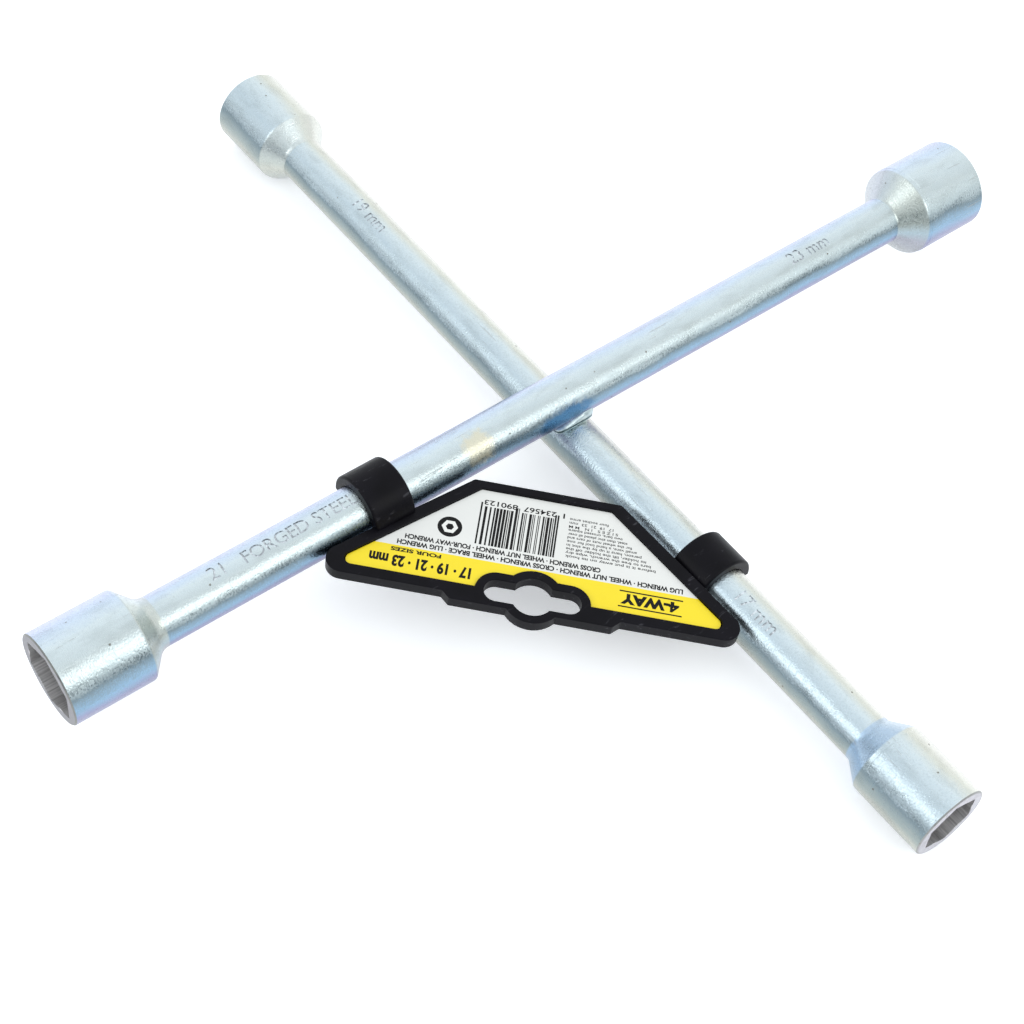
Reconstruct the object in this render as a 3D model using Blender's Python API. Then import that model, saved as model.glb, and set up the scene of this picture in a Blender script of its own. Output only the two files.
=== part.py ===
"""Four-way lug wrench with its moulded hanger.

Two round steel bars cross at right angles, the upper one saddled over the lower one, and
a ring of weld holds them together. Each bar carries a turned hexagon socket on both ends,
for 17, 19, 21 and 23 mm wheel nuts. A moulded hanger hooks over one arm of each bar with
a C clip, holds a printed label in a recess, and has a slot to hang the wrench by. The
hanger lifts straight off.

Frame: +X along the upper bar towards the 23 mm socket, +Y along the lower bar towards the
19 mm socket, +Z up. The origin is under the middle of the bounding box, at its lowest
point. Lengths are in metres.
"""

import math

import bmesh
import bpy
from mathutils import Matrix, Vector

MM = 0.001

# Bars
BAR_RADIUS = 8 * MM
AXIS_RISE = 13 * MM            # upper bar's axis over the lower bar's
CLEARANCE = 0.3 * MM           # gap kept between pieces that touch

# Sockets: across flats, outer radius, crossing to mouth, heading and turn of the hexagon
SOCKETS = {
    "socket_17": (17 * MM, 12.5 * MM, 176 * MM, -90, 5),
    "socket_19": (19 * MM, 13.5 * MM, 180 * MM, 90, 12),
    "socket_21": (21 * MM, 14.5 * MM, 182 * MM, 180, 54),
    "socket_23": (23 * MM, 15.5 * MM, 174 * MM, 0, 20),
}
SOCKET_LENGTH = 26 * MM        # straight part, mouth to shoulder
CONE_LENGTH = 8 * MM           # shoulder to bar
CONE_FILLET = 5 * MM           # where the cone runs into the bar
SHOULDER_ROUND = 1.5 * MM
MOUTH_CHAMFER = 0.6 * MM
HEX_DEPTH = 19 * MM
HEX_LEAD_IN = 0.9 * MM         # lead-in cone at the mouth, along the axis
DRILL_DEPTH = 21 * MM          # drilled core under the broached hexagon
DRILL_POINT = 4 * MM
DRILL_ALLOWANCE = 0.2 * MM     # drilled radius under the inscribed circle's

# Weld at the crossing
WELD_REACH = 9.5 * MM
WELD_HALF_HEIGHT = 6 * MM

# Hanger plate, drawn as (across, outwards): across runs from the upper bar's arm to the
# lower bar's, outwards runs away from the crossing
PLATE_THICKNESS = 4 * MM
PLATE_TOP = 5.5 * MM           # plate's top over the middle of the crossing
PLATE_TILT = 3.4               # degrees, down towards the lower bar
PLATE_INNER_HALF = 22.6 * MM   # half of the short edge
PLATE_INNER = 37.8 * MM        # crossing to the short edge
PLATE_OUTER = 80 * MM          # crossing to the long edge
PLATE_SIDE_ANGLE = 42.3        # side edges from the long edge, in degrees
PLATE_ROUND = 4.8 * MM
TAB_HALF = 24 * MM             # stepped tab on the long edge
TAB_DEPTH = 2.4 * MM
SMALL_ROUND = 1 * MM           # corners of the tab and of the short edges
RECESS_DEPTH = 1.8 * MM
LABEL_THICKNESS = 0.5 * MM
LABEL_INNER_HALF = 20 * MM
LABEL_INNER = 40.5 * MM
LABEL_OUTER = 76.5 * MM
LABEL_ROUND = 2.2 * MM

# Hanging slot: a round hole with a wing on each side
SLOT_CENTRE = 76.8 * MM        # crossing to the slot's middle
SLOT_HALF_LENGTH = 14.5 * MM
SLOT_HALF_HEIGHT = 3.7 * MM
SLOT_HOLE_RADIUS = 6.5 * MM
SLOT_COLLAR = 2.7 * MM         # plastic left round the slot

# Clips
CLIP_CENTRE = 72 * MM          # crossing to the middle of each clip
CLIP_WIDTH = 14 * MM
CLIP_INNER_RADIUS = BAR_RADIUS + 0.4 * MM
CLIP_OUTER_RADIUS = 11.3 * MM
CLIP_SKIRT = 1.2 * MM          # how far the clip reaches below the bar's axis

ROUND_SEGMENTS = 48
ARC_STEP = 12.0                # degrees between points on a drawn arc
CUT_MARGIN = 5 * MM            # how far a cutter runs past what it cuts


def place_of_crossing():
    """Middle of the crossing, so that the bounding box stands centred on the origin."""
    x = (SOCKETS["socket_21"][2] - SOCKETS["socket_23"][2]) / 2
    y = (SOCKETS["socket_17"][2] - SOCKETS["socket_19"][2]) / 2
    lower_axis = max(SOCKETS["socket_17"][1], SOCKETS["socket_19"][1])
    return Vector((x, y, lower_axis + AXIS_RISE / 2))


CROSSING = place_of_crossing()
UPPER_AXIS = CROSSING + Vector((0, 0, AXIS_RISE / 2))
LOWER_AXIS = CROSSING - Vector((0, 0, AXIS_RISE / 2))


def clear_scene():
    for old in list(bpy.data.objects):
        bpy.data.objects.remove(old, do_unlink=True)


def principled(name, colour, metallic, roughness):
    material = bpy.data.materials.new(name)
    material.use_nodes = True
    shader = material.node_tree.nodes["Principled BSDF"]
    shader.inputs["Base Color"].default_value = (*colour, 1.0)
    shader.inputs["Metallic"].default_value = metallic
    shader.inputs["Roughness"].default_value = roughness
    return material


def add_object(name, bm, material, smooth=True):
    """Turn a bmesh into a named object with outward faces."""
    bmesh.ops.remove_doubles(bm, verts=bm.verts, dist=0.001 * MM)
    bmesh.ops.dissolve_degenerate(bm, edges=bm.edges, dist=0.001 * MM)
    bmesh.ops.recalc_face_normals(bm, faces=bm.faces)
    mesh = bpy.data.meshes.new(name)
    bm.to_mesh(mesh)
    bm.free()
    if smooth:
        mesh.shade_smooth()
        mesh.set_sharp_from_angle(angle=math.radians(35))
    if material:
        mesh.materials.append(material)
    item = bpy.data.objects.new(name, mesh)
    bpy.context.scene.collection.objects.link(item)
    return item


def add_cutter(name, bm):
    cutter = add_object(name, bm, None, smooth=False)
    cutter.hide_render = True
    cutter.display_type = "WIRE"
    return cutter


def add_boolean(item, other, operation):
    boolean = item.modifiers.new(other.name, "BOOLEAN")
    boolean.object = other
    boolean.operation = operation
    boolean.solver = "EXACT"


def turned(profile):
    """Solid of revolution about +X from (along, radius) points that start and end on it."""
    bm = bmesh.new()
    points = [bm.verts.new((along, 0, radius)) for along, radius in profile]
    edges = [bm.edges.new(pair) for pair in zip(points, points[1:])]
    bmesh.ops.spin(bm, geom=points + edges, axis=(1, 0, 0), cent=(0, 0, 0),
                   angle=math.tau, steps=ROUND_SEGMENTS, use_merge=True)
    return bm


def rod(radius, start, end):
    return turned([(start, 0), (start, radius), (end, radius), (end, 0)])


def prism(outline, low, high):
    """Closed solid between two heights from a flat outline."""
    bm = bmesh.new()
    face = bm.faces.new([bm.verts.new((x, y, low)) for x, y in outline])
    grown = bmesh.ops.extrude_face_region(bm, geom=[face])
    top = [part for part in grown["geom"] if isinstance(part, bmesh.types.BMVert)]
    bmesh.ops.translate(bm, verts=top, vec=(0, 0, high - low))
    return bm


def arc(centre, radius, start, end):
    """Points along an arc, angles in degrees, both ends included."""
    steps = max(1, round(abs(end - start) / ARC_STEP))
    turns = [math.radians(start + (end - start) * i / steps) for i in range(steps + 1)]
    return [(centre[0] + radius * math.cos(a), centre[1] + radius * math.sin(a)) for a in turns]


def rounded(corners, closed):
    """Polyline through (x, y, radius) corners, each with an arc of its radius."""
    points = []
    count = len(corners)
    for i, (x, y, radius) in enumerate(corners):
        at_end = not closed and i in (0, count - 1)
        if radius == 0 or at_end:
            points.append((x, y))
            continue
        here = Vector((x, y))
        before = (Vector(corners[i - 1][:2]) - here).normalized()
        after = (Vector(corners[(i + 1) % count][:2]) - here).normalized()
        half = before.angle(after) / 2
        centre = here + (before + after).normalized() * radius / math.sin(half)
        first = here + before * radius / math.tan(half) - centre
        last = here + after * radius / math.tan(half) - centre
        start = math.degrees(math.atan2(first.y, first.x))
        sweep = math.degrees(math.atan2(first.x * last.y - first.y * last.x, first.dot(last)))
        points += arc(centre, radius, start, start + sweep)
    return points


def hexagon(across_flats):
    corner = across_flats / math.sqrt(3)
    return [(corner * math.cos(a), corner * math.sin(a))
            for a in (math.tau * i / 6 for i in range(6))]


def make_bars(steel):
    """The two bars; the upper one has a saddle where it sits over the lower one."""
    reach = {name: size[2] - SOCKET_LENGTH - CONE_LENGTH - CLEARANCE
             for name, size in SOCKETS.items()}
    upper = add_object("upper_bar", rod(BAR_RADIUS, -reach["socket_21"], reach["socket_23"]), steel)
    upper.location = UPPER_AXIS
    lower = add_object("lower_bar", rod(BAR_RADIUS, -reach["socket_17"], reach["socket_19"]), steel)
    saddle = add_cutter("saddle_cutter", rod(BAR_RADIUS + CLEARANCE,
                                             -reach["socket_17"], reach["socket_19"]))
    for along_y in (lower, saddle):
        along_y.location = LOWER_AXIS
        along_y.rotation_euler.z = math.pi / 2
    add_boolean(upper, saddle, "DIFFERENCE")


def socket_profile(outer_radius, mouth):
    """Outside of a socket along its arm, from the bar's end to the mouth."""
    shoulder = mouth - SOCKET_LENGTH
    start = shoulder - CONE_LENGTH
    corners = [
        (start, 0, 0),
        (start, BAR_RADIUS, 0),
        (start + CONE_FILLET / 2, BAR_RADIUS, CONE_FILLET),
        (shoulder, outer_radius, SHOULDER_ROUND),
        (mouth - MOUTH_CHAMFER, outer_radius, 0),
        (mouth, outer_radius - MOUTH_CHAMFER, 0),
        (mouth, 0, 0),
    ]
    return rounded(corners, closed=False)


def make_socket(name, steel):
    across, outer_radius, mouth, heading, turn = SOCKETS[name]
    axis = UPPER_AXIS if heading % 180 == 0 else LOWER_AXIS
    place = Matrix.Translation(axis) @ Matrix.Rotation(math.radians(heading), 4, "Z")
    item = add_object(name, turned(socket_profile(outer_radius, mouth)), steel)
    item.matrix_world = place

    # The hexagon is drawn flat, turned about its own axis, then stood up to face the mouth.
    broach = prism(hexagon(across), -HEX_DEPTH, CUT_MARGIN)
    upright = Matrix.Rotation(math.pi / 2, 4, "Y") @ Matrix.Rotation(math.radians(turn), 4, "Z")
    at_mouth = Matrix.Translation((mouth, 0, 0)) @ upright
    bmesh.ops.transform(broach, matrix=at_mouth, verts=broach.verts)
    hexagon_cutter = add_cutter(name + "_hexagon", broach)

    corner = across / math.sqrt(3)
    core = across / 2 - DRILL_ALLOWANCE
    drill = turned([(mouth - DRILL_DEPTH - DRILL_POINT, 0), (mouth - DRILL_DEPTH, core),
                    (mouth - HEX_DEPTH / 2, core), (mouth - HEX_DEPTH / 2, 0)])
    drill_cutter = add_cutter(name + "_drill", drill)

    lead = turned([(mouth - 2 * HEX_LEAD_IN, 0), (mouth - 2 * HEX_LEAD_IN, corner - 2 * HEX_LEAD_IN),
                   (mouth + HEX_LEAD_IN, corner + HEX_LEAD_IN), (mouth + HEX_LEAD_IN, 0)])
    lead_cutter = add_cutter(name + "_lead_in", lead)
    for cutter in (hexagon_cutter, drill_cutter, lead_cutter):
        cutter.matrix_world = place
        add_boolean(item, cutter, "DIFFERENCE")


def make_weld(steel):
    """Ring of weld squeezed out round the saddle, clear of both bars."""
    bm = bmesh.new()
    bmesh.ops.create_uvsphere(bm, u_segments=ROUND_SEGMENTS, v_segments=ROUND_SEGMENTS // 2,
                              radius=WELD_REACH)
    flatten = Matrix.Diagonal((1, 1, WELD_HALF_HEIGHT / WELD_REACH, 1))
    bmesh.ops.transform(bm, matrix=flatten, verts=bm.verts)
    weld = add_object("crossing_weld", bm, steel)
    weld.location = CROSSING
    passes = (("weld_over", UPPER_AXIS, 0), ("weld_under", LOWER_AXIS, math.pi / 2))
    for name, axis, heading in passes:
        cutter = add_cutter(name, rod(BAR_RADIUS + CLEARANCE, -3 * WELD_REACH, 3 * WELD_REACH))
        cutter.location = axis
        cutter.rotation_euler.z = heading
        add_boolean(weld, cutter, "DIFFERENCE")


def plate_outline():
    """Plate seen from above as (across, -outwards), with the stepped tab on its long edge."""
    slope = math.radians(PLATE_SIDE_ANGLE)
    spread = (PLATE_OUTER - PLATE_INNER) / math.tan(slope)
    corner = PLATE_INNER_HALF + spread
    tab = PLATE_OUTER + TAB_DEPTH
    bulge_radius = SLOT_HOLE_RADIUS + SLOT_COLLAR
    rise = tab - SLOT_CENTRE
    bulge_turn = math.degrees(math.asin(rise / bulge_radius))
    bulge = [(x, y, 0) for x, y in arc((0, SLOT_CENTRE), bulge_radius, bulge_turn, 180 - bulge_turn)]
    right = [
        (PLATE_INNER_HALF, PLATE_INNER, SMALL_ROUND),
        (corner, PLATE_OUTER, PLATE_ROUND),
        (TAB_HALF + TAB_DEPTH, PLATE_OUTER, SMALL_ROUND),
        (TAB_HALF, tab, SMALL_ROUND),
    ]
    left = [(-x, y, radius) for x, y, radius in reversed(right)]
    outline = rounded(right + bulge + left, closed=True)
    return [(x, -y) for x, y in outline]


def label_outline(gap):
    """Label's outline before the slot's collar is cut out, shrunk by a gap."""
    slope = math.radians(PLATE_SIDE_ANGLE)
    inner = LABEL_INNER + gap
    outer = LABEL_OUTER - gap
    side = gap / math.sin(slope) + gap / math.tan(slope)
    inner_half = LABEL_INNER_HALF - side + 2 * gap / math.tan(slope)
    outer_half = inner_half + (outer - inner) / math.tan(slope)
    corners = [
        (inner_half, inner, SMALL_ROUND),
        (outer_half, outer, LABEL_ROUND),
        (-outer_half, outer, LABEL_ROUND),
        (-inner_half, inner, SMALL_ROUND),
    ]
    return [(x, -y) for x, y in rounded(corners, closed=True)]


def slot_outline(grow):
    """Hanging slot, or the collar round it when grown."""
    hole = SLOT_HOLE_RADIUS + grow
    wing = SLOT_HALF_HEIGHT + grow
    end = SLOT_HALF_LENGTH - SLOT_HALF_HEIGHT
    turn = math.degrees(math.asin(wing / hole))
    points = arc((end, 0), wing, -90, 90)
    points += arc((0, 0), hole, turn, 180 - turn)
    points += arc((-end, 0), wing, 90, 270)
    points += arc((0, 0), hole, 180 + turn, 360 - turn)
    return [(x, y - SLOT_CENTRE) for x, y in points]


def arch_outline(radius, below):
    """Upright arch over a bar: half round on top, straight sides down past the axis."""
    return arc((0, 0), radius, 0, 180) + [(-radius, -below), (radius, -below)]


def arch(radius, below, length):
    """An arch outline drawn out along +X, centred on the bar's axis."""
    bm = prism(arch_outline(radius, below), -length / 2, length / 2)
    along = Matrix(((0, 0, 1, 0), (1, 0, 0, 0), (0, 1, 0, 0), (0, 0, 0, 1)))
    bmesh.ops.transform(bm, matrix=along, verts=bm.verts)
    return bm


def make_hanger(plastic, card):
    """Plate, rim, slot and both clips in one moulding, and the label in its recess."""
    tilt = Matrix.Rotation(math.radians(PLATE_TILT), 4, "Y")
    facing = Matrix.Rotation(math.radians(-45), 4, "Z")
    place = Matrix.Translation(CROSSING + Vector((0, 0, PLATE_TOP))) @ facing @ tilt

    hanger = add_object("hanger", prism(plate_outline(), -PLATE_THICKNESS, 0), plastic)
    hanger.matrix_world = place

    collar = add_cutter("collar_guide", prism(slot_outline(SLOT_COLLAR), -CUT_MARGIN, CUT_MARGIN))
    collar.matrix_world = place
    recess = add_cutter("recess_cutter", prism(label_outline(0), -RECESS_DEPTH, CUT_MARGIN))
    recess.matrix_world = place
    add_boolean(recess, collar, "DIFFERENCE")
    add_boolean(hanger, recess, "DIFFERENCE")

    through = -PLATE_THICKNESS - CUT_MARGIN
    slot = add_cutter("slot_cutter", prism(slot_outline(0), through, CUT_MARGIN))
    slot.matrix_world = place
    add_boolean(hanger, slot, "DIFFERENCE")

    arms = (("upper", UPPER_AXIS - Vector((CLIP_CENTRE, 0, 0)), 0),
            ("lower", LOWER_AXIS - Vector((0, CLIP_CENTRE, 0)), math.pi / 2))
    for arm, middle, heading in arms:
        clip = add_cutter(arm + "_clip", arch(CLIP_OUTER_RADIUS, CLIP_SKIRT, CLIP_WIDTH))
        clip.location = middle
        clip.rotation_euler.z = heading
        add_boolean(hanger, clip, "UNION")
    for arm, middle, heading in arms:
        room = add_cutter(arm + "_room", arch(CLIP_INNER_RADIUS, 3 * BAR_RADIUS, 2 * CLIP_CENTRE))
        room.location = middle
        room.rotation_euler.z = heading
        add_boolean(hanger, room, "DIFFERENCE")

    label_floor = -RECESS_DEPTH + CLEARANCE
    label = add_object("label", prism(label_outline(CLEARANCE), label_floor,
                                      label_floor + LABEL_THICKNESS), card, smooth=False)
    label.matrix_world = place
    collar_room = add_cutter("collar_room", prism(slot_outline(SLOT_COLLAR + CLEARANCE),
                                                  -CUT_MARGIN, CUT_MARGIN))
    collar_room.matrix_world = place
    add_boolean(label, collar_room, "DIFFERENCE")


def main():
    clear_scene()
    zinc = principled("zinc_plate", (0.72, 0.78, 0.82), 1.0, 0.35)
    plastic = principled("black_plastic", (0.02, 0.019, 0.023), 0.0, 0.5)
    card = principled("label_card", (0.95, 0.82, 0.1), 0.0, 0.5)
    make_bars(zinc)
    for name in SOCKETS:
        make_socket(name, zinc)
    make_weld(zinc)
    make_hanger(plastic, card)
    bpy.context.view_layer.update()


main()
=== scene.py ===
"""Looks of the four-way lug wrench: zinc-plated bars and sockets, moulded hanger, printed label.

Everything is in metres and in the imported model's own frame: +X along the upper bar towards
the 23 mm socket, +Y along the lower bar towards the 19 mm socket, +Z up. Each piece is built
where it belongs, so every object sits at the origin.
"""

import math
import random
import bmesh
import bpy
from mathutils import Matrix, Vector, noise


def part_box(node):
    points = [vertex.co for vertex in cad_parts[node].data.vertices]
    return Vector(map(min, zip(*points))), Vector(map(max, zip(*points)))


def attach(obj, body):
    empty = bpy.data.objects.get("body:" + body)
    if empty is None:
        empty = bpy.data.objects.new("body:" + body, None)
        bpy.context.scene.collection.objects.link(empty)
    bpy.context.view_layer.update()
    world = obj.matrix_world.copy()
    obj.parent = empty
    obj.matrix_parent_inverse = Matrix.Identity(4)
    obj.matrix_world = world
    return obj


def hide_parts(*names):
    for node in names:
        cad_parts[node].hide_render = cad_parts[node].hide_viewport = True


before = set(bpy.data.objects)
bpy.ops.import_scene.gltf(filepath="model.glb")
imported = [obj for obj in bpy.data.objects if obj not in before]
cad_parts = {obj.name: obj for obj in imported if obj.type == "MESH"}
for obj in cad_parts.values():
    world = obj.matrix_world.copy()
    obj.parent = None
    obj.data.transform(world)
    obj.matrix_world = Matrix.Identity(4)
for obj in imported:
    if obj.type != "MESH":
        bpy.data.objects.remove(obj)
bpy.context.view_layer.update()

MM = 0.001


# -------- places from the frame

def corners(node):
    low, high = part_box(node)
    return Vector(low), Vector(high)


def middle(node):
    low, high = corners(node)
    return (low + high) / 2


BAR_RADIUS = (corners("lower_bar")[1].z - corners("lower_bar")[0].z) / 2
UPPER_AXIS = Vector((middle("lower_bar").x, middle("upper_bar").y, middle("upper_bar").z))
LOWER_AXIS = Vector((UPPER_AXIS.x, UPPER_AXIS.y, middle("lower_bar").z))
CROSSING = (UPPER_AXIS + LOWER_AXIS) / 2

# Sockets: across flats, heading of the arm and turn of the hexagon, in degrees
SOCKETS = {
    "socket_17": (17 * MM, -90, 5),
    "socket_19": (19 * MM, 90, 12),
    "socket_21": (21 * MM, 180, 54),
    "socket_23": (23 * MM, 0, 20),
}
SOCKET_SHARP_ANGLE = 24        # degrees
SOCKET_LENGTH = 26 * MM
CONE_LENGTH = 8 * MM
HEX_DEPTH = 19 * MM
DRILL_DEPTH = 21 * MM
DRILL_POINT = 4 * MM
JOINT_LINE = 0.03 * MM         # step where a bar ends in its socket
FLAT_TOLERANCE = 0.01 * MM     # how far from a level a flat face's points may be

# Hanger, drawn as (across, outwards) from the crossing
PLATE_THICKNESS = 4 * MM
PLATE_TOP = 5.5 * MM
PLATE_TILT = 3.4               # degrees
PLATE_HEADING = -45            # degrees
PLATE_INNER_HALF = 22.6 * MM
PLATE_INNER = 37.8 * MM
PLATE_OUTER = 80 * MM
PLATE_SIDE_ANGLE = 42.3        # degrees
PLATE_ROUND = 4.8 * MM
TAB_HALF = 24 * MM
TAB_DEPTH = 2.4 * MM
SMALL_ROUND = 1 * MM
RECESS_DEPTH = 1.8 * MM
LABEL_INNER_HALF = 20 * MM
LABEL_INNER = 40.5 * MM
LABEL_OUTER = 76.5 * MM
LABEL_ROUND = 2.2 * MM
LABEL_FACE = -1 * MM           # label's printed face under the rim's top
LABEL_THICKNESS = 0.5 * MM
LABEL_GAP = 0.15 * MM
SLOT_CENTRE = 76.8 * MM
SLOT_HALF_LENGTH = 14.5 * MM
SLOT_HALF_HEIGHT = 3.7 * MM
SLOT_HOLE_RADIUS = 6.5 * MM
SLOT_COLLAR = 2.7 * MM
CLIP_CENTRE = 72 * MM
CLIP_WIDTH = 14 * MM
CLIP_INNER_RADIUS = BAR_RADIUS + 0.4 * MM
CLIP_OUTER_RADIUS = 11.3 * MM
CLIP_SKIRT = 1.2 * MM

ROUND_STEPS = 128
ARC_STEP = 9.0                 # degrees between points on a drawn arc
SOFT_STEPS = 4                 # faces across a softened edge
CUT_MARGIN = 5 * MM            # how far a cutter stands past what it cuts

PLATE_PLACE = (Matrix.Translation(CROSSING + Vector((0, 0, PLATE_TOP)))
               @ Matrix.Rotation(math.radians(PLATE_HEADING), 4, "Z")
               @ Matrix.Rotation(math.radians(PLATE_TILT), 4, "Y"))


# -------- shader maths

class Value:
    """A shader socket that Python expressions work on: each operator adds a Math node."""

    def __init__(self, finish, output):
        self.finish = finish
        self.output = output

    def maths(self, operation, *operands):
        inputs = dict(enumerate(operands))
        return self.finish.node("ShaderNodeMath", {"operation": operation}, inputs)

    def __add__(self, other):
        return self.maths("ADD", self, other)

    __radd__ = __add__

    def __sub__(self, other):
        return self.maths("SUBTRACT", self, other)

    def __rsub__(self, other):
        return self.maths("SUBTRACT", other, self)

    def __mul__(self, other):
        return self.maths("MULTIPLY", self, other)

    __rmul__ = __mul__

    def __truediv__(self, other):
        return self.maths("DIVIDE", self, other)

    def __pow__(self, other):
        return self.maths("POWER", self, other)

    def __gt__(self, other):
        return self.maths("GREATER_THAN", self, other)


class Nodes:
    """Nodes of one tree, added by name with their settings and inputs."""

    def __init__(self, tree):
        self.tree = tree

    def node(self, kind, settings, inputs, output=0):
        node = self.tree.nodes.new(kind)
        for name, setting in settings.items():
            if name == "stops":
                self.set_stops(node.color_ramp, setting)
            else:
                setattr(node, name, setting)
        for name, value in inputs.items():
            self.join(value, node.inputs[name])
        return Value(self, node.outputs[output])

    def set_stops(self, ramp, stops):
        while len(ramp.elements) < len(stops):
            ramp.elements.new(1.0)
        for element, (position, colour) in zip(ramp.elements, stops):
            element.position = position
            element.color = (*colour, 1.0)

    def join(self, value, socket):
        if isinstance(value, Value):
            self.tree.links.new(value.output, socket)
        elif socket.type == "RGBA":
            socket.default_value = (*value, 1.0)
        else:
            socket.default_value = value

    def parts(self, vector):
        return [self.node("ShaderNodeSeparateXYZ", {}, {"Vector": vector}, axis)
                for axis in "XYZ"]

    def ramp(self, value, stops):
        return self.node("ShaderNodeValToRGB", {"stops": stops}, {"Fac": value})

    def smooth(self, value, start, end, low=0.0, high=1.0):
        return self.node("ShaderNodeMapRange", {"interpolation_type": "SMOOTHSTEP"}, {
            "Value": value, "From Min": start, "From Max": end, "To Min": low, "To Max": high})

    def blend(self, amount, under, over, mode="MIX"):
        mix = self.tree.nodes.new("ShaderNodeMix")
        mix.data_type = "RGBA"
        mix.blend_type = mode
        self.join(amount, mix.inputs[0])
        self.join(under, mix.inputs[6])
        self.join(over, mix.inputs[7])
        return Value(self, mix.outputs[2])


class Finish(Nodes):
    """A material being mixed: its shader, and the surface's own coordinates."""

    def __init__(self, name, metallic=0.0, specular=0.5):
        self.material = bpy.data.materials.new(name)
        self.material.use_nodes = True
        super().__init__(self.material.node_tree)
        self.shader = self.tree.nodes["Principled BSDF"]
        self.set("Metallic", metallic)
        self.set("Specular IOR Level", specular)

    def set(self, name, value):
        self.join(value, self.shader.inputs[name])

    def place(self, origin=(0, 0, 0), turn=0.0):
        """Object coordinates, moved to an origin and turned about Z so that X runs along it."""
        point = self.node("ShaderNodeTexCoord", {}, {}, "Object")
        moved = self.node("ShaderNodeVectorMath", {"operation": "SUBTRACT"},
                          {0: point, 1: tuple(origin)})
        return self.node("ShaderNodeMapping", {}, {"Vector": moved,
                                                   "Rotation": (0, 0, -math.radians(turn))})

    def stretch(self, vector, scale):
        return self.node("ShaderNodeMapping", {}, {"Vector": vector, "Scale": scale})

    def noise(self, vector, size, detail=3.0, distortion=0.0):
        """Cloudy noise from 0 to 1 whose blotches are about `size` metres across."""
        return self.node("ShaderNodeTexNoise", {}, {
            "Vector": vector, "Scale": 1 / size, "Detail": detail, "Distortion": distortion})

    def specks(self, vector, pitch, core, edge, channel, least):
        """Round specks, 1 up to the core and 0 past the edge, in some of the pattern's cells."""
        cells = {"Vector": vector, "Scale": 1 / pitch}
        distance = self.node("ShaderNodeTexVoronoi", {}, cells, "Distance")
        colour = self.node("ShaderNodeTexVoronoi", {}, cells, "Color")
        pick = self.node("ShaderNodeSeparateColor", {}, {"Color": colour}, channel)
        return self.smooth(distance, core, edge, 1.0, 0.0) * (pick > least)

    def bump(self, height, depth):
        """Relief from a height of 0 to 1, `depth` metres deep."""
        self.set("Normal", self.node("ShaderNodeBump", {}, {
            "Height": height, "Distance": depth, "Strength": 1.0}, "Normal"))


# -------- finishes

GRAIN = 0.70 * MM              # of the plating
LILAC = (0.30, 0.30, 0.46)
PALE_LILAC = (0.56, 0.60, 0.77)
BLUE = (0.27, 0.42, 0.57)
ICE_BLUE = (0.68, 0.80, 0.94)
STEEL_BLUE = (0.54, 0.64, 0.69)
# Painted dark reflection: the room's dark band, painted into the plating of both bars
PAINTED_DARK_REFLECTION = (0.20, 0.26, 0.29)
GREY = (0.49, 0.52, 0.56)
OLIVE = (0.33, 0.38, 0.37)
PALE_OLIVE = (0.49, 0.50, 0.45)
DULL_SILVER = (0.58, 0.65, 0.65)
SILVER = (0.61, 0.71, 0.73)
BRIGHT_SILVER = (0.71, 0.80, 0.82)
CREAM = (0.76, 0.78, 0.70)
DULL_CREAM = (0.74, 0.73, 0.68)

# Heights at which the plating's tint changes, in degrees from a bar's top down the hanger's
# side.
# The tints are partly the plating's own colour and partly painted reflection of the floor and
# room; the dark stop at 65 degrees is a painted dark reflection band.
TINT_ANGLES = (180, 100, 85, 65, 55, 30, 0, -20, -40, -180)


def tints_round(hanger_side, tints):
    """Colour stops round a bar whose hanger's side lies at -1 or +1 across it."""
    return sorted((0.5 + hanger_side * angle / 360, tint)
                  for angle, tint in zip(TINT_ANGLES, tints))


# Tints round each bar and its sockets: plating colour mixed with painted reflection
UPPER_TINTS_AND_PAINTED_REFLECTION = tints_round(-1, (GREY, LILAC, BLUE, PAINTED_DARK_REFLECTION, SILVER, DULL_SILVER, BRIGHT_SILVER,
                               ICE_BLUE, PALE_LILAC, GREY))
LOWER_TINTS_AND_PAINTED_REFLECTION = tints_round(1, (GREY, PALE_OLIVE, OLIVE, PAINTED_DARK_REFLECTION, STEEL_BLUE, STEEL_BLUE,
                              BRIGHT_SILVER, CREAM, DULL_CREAM, GREY))
# Stains on the upper bar: place along it, degrees from the top, length, width, colour, strength
YELLOW_STAIN = (-37.3 * MM, -40.0, 6.5 * MM, 6.5 * MM, (0.80, 0.72, 0.50), 0.65)
HEAT_TINT = (-5.0 * MM, -82.0, 13.0 * MM, 4.8 * MM, (0.04, 0.16, 0.33), 0.8)


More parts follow.
